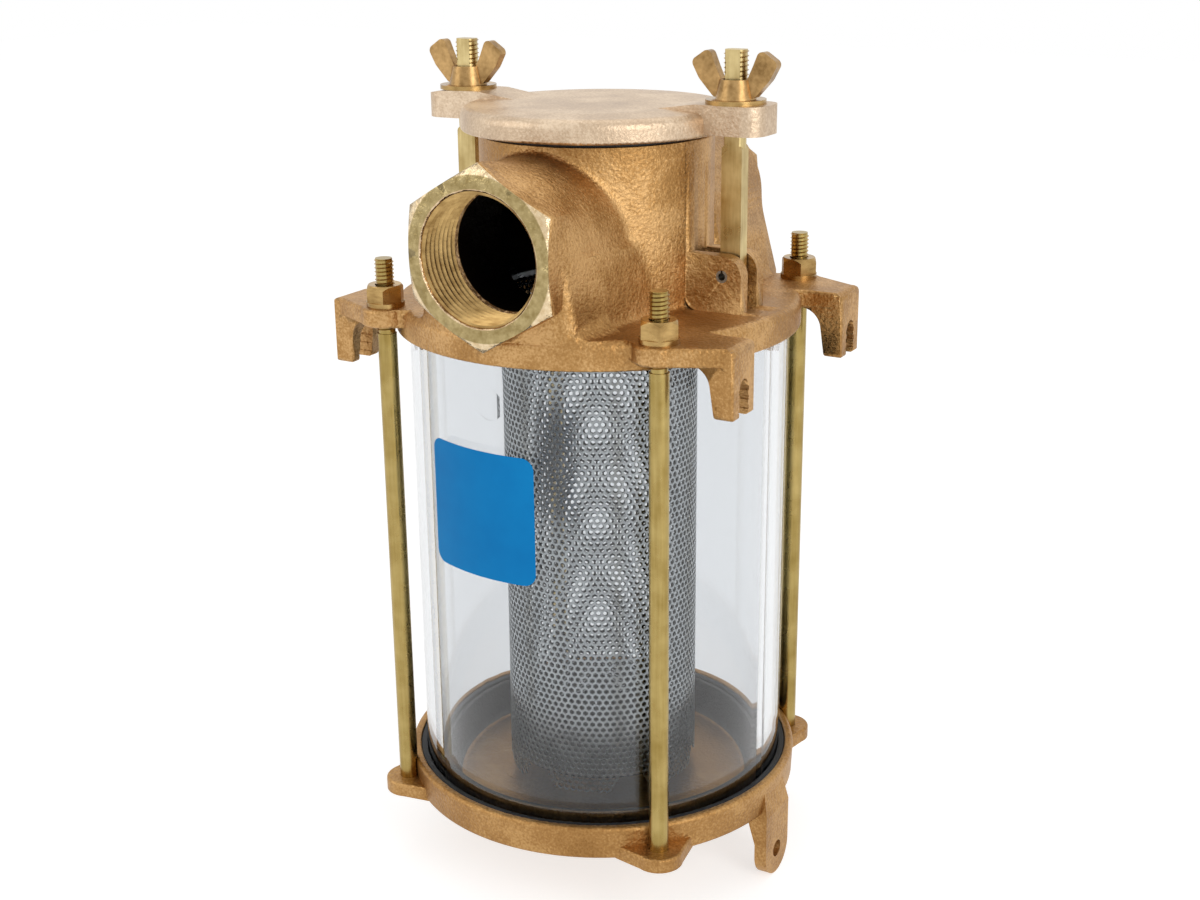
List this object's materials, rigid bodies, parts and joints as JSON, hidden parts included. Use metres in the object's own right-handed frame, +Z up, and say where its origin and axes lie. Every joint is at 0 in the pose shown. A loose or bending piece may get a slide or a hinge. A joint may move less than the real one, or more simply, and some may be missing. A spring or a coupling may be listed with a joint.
{
  "type": "sea water strainer",
  "caption": "Cast bronze in-line sea water strainer: clear cylinder clamped between base and body by tie rods, perforated basket, and a cover held by swing bolts with wing nuts.",
  "frame": {"origin": "on the cylinder's vertical axis, at the height of the tips of the two base feet", "axes": "+Z up along the cylinder, -Y out of the inlet port, +Y out of the outlet port, +X and -X out of the bulkhead mounting pads"},
  "size_m": [0.148, 0.142, 0.282],
  "materials": {
    "cast_bronze": "as-cast bronze, sandy and matt",
    "pale_bronze": "pale sand-cast bronze, matt",
    "drawn_brass": "drawn brass bar, satin",
    "turned_brass": "turned brass, satin",
    "black_rubber": "black rubber, matt",
    "clear_plastic": "clear moulded plastic, glossy",
    "basket_steel": "perforated steel sheet, satin",
    "pin_steel": "rolled spring steel, satin",
    "blue_label": "plain blue film, glossy"
  },
  "bodies": {
    "strainer": {"base": "cast_bronze", "basket_bail": "basket_steel", "basket_bottom": "basket_steel", "basket_rim": "basket_steel", "basket_tube": "basket_steel", "clear_cylinder": "clear_plastic", "cover": "pale_bronze", "cover_gasket": "black_rubber", "drain_plug": "turned_brass", "hex_nut_1": "turned_brass", "hex_nut_2": "turned_brass", "hex_nut_3": "turned_brass", "hex_nut_4": "turned_brass", "label": "blue_label", "lock_washer_1": "turned_brass", "lock_washer_2": "turned_brass", "lock_washer_3": "turned_brass", "lock_washer_4": "turned_brass", "lower_gasket": "black_rubber", "pivot_pin_left": "pin_steel", "pivot_pin_right": "pin_steel", "strainer_body": "cast_bronze", "swing_bolt_right": "drawn_brass", "tie_rod_1": "drawn_brass", "tie_rod_2": "drawn_brass", "tie_rod_3": "drawn_brass", "tie_rod_4": "drawn_brass", "upper_gasket": "black_rubber"},
    "left_bolt": {"swing_bolt_left": "drawn_brass"},
    "left_washer": {"flat_washer_left": "turned_brass"},
    "left_nut": {"wing_nut_left": "turned_brass"},
    "right_washer": {"flat_washer_right": "turned_brass"},
    "right_nut": {"wing_nut_right": "turned_brass"}
  },
  "joints": [
    {"name": "left_bolt_swing", "type": "hinge", "parent": "strainer", "child": "left_bolt", "pos_m": [-0.05, 0, 0.2125], "axis": [0, -1, 0], "range_deg": [0, 100]},
    {"name": "left_nut_lift", "type": "slide", "parent": "left_bolt", "child": "left_washer", "axis": [0, 0, 1], "range_m": [0, 0.0085]},
    {"name": "left_nut_spin", "type": "hinge", "parent": "left_washer", "child": "left_nut", "pos_m": [-0.05, 0, 0.267], "axis": [0, 0, 1], "range_deg": [0, 2170]},
    {"name": "right_nut_lift", "type": "slide", "parent": "strainer", "child": "right_washer", "axis": [0, 0, 1], "range_m": [0, 0.0085]},
    {"name": "right_nut_spin", "type": "hinge", "parent": "right_washer", "child": "right_nut", "pos_m": [0.05, 0, 0.267], "axis": [0, 0, 1], "range_deg": [0, 2170]}
  ],
  "couplings": [
    {"joint": "left_nut_spin", "follows": "left_nut_lift", "rad_per_m": 4452.7},
    {"joint": "right_nut_spin", "follows": "right_nut_lift", "rad_per_m": 4452.7}
  ]
}
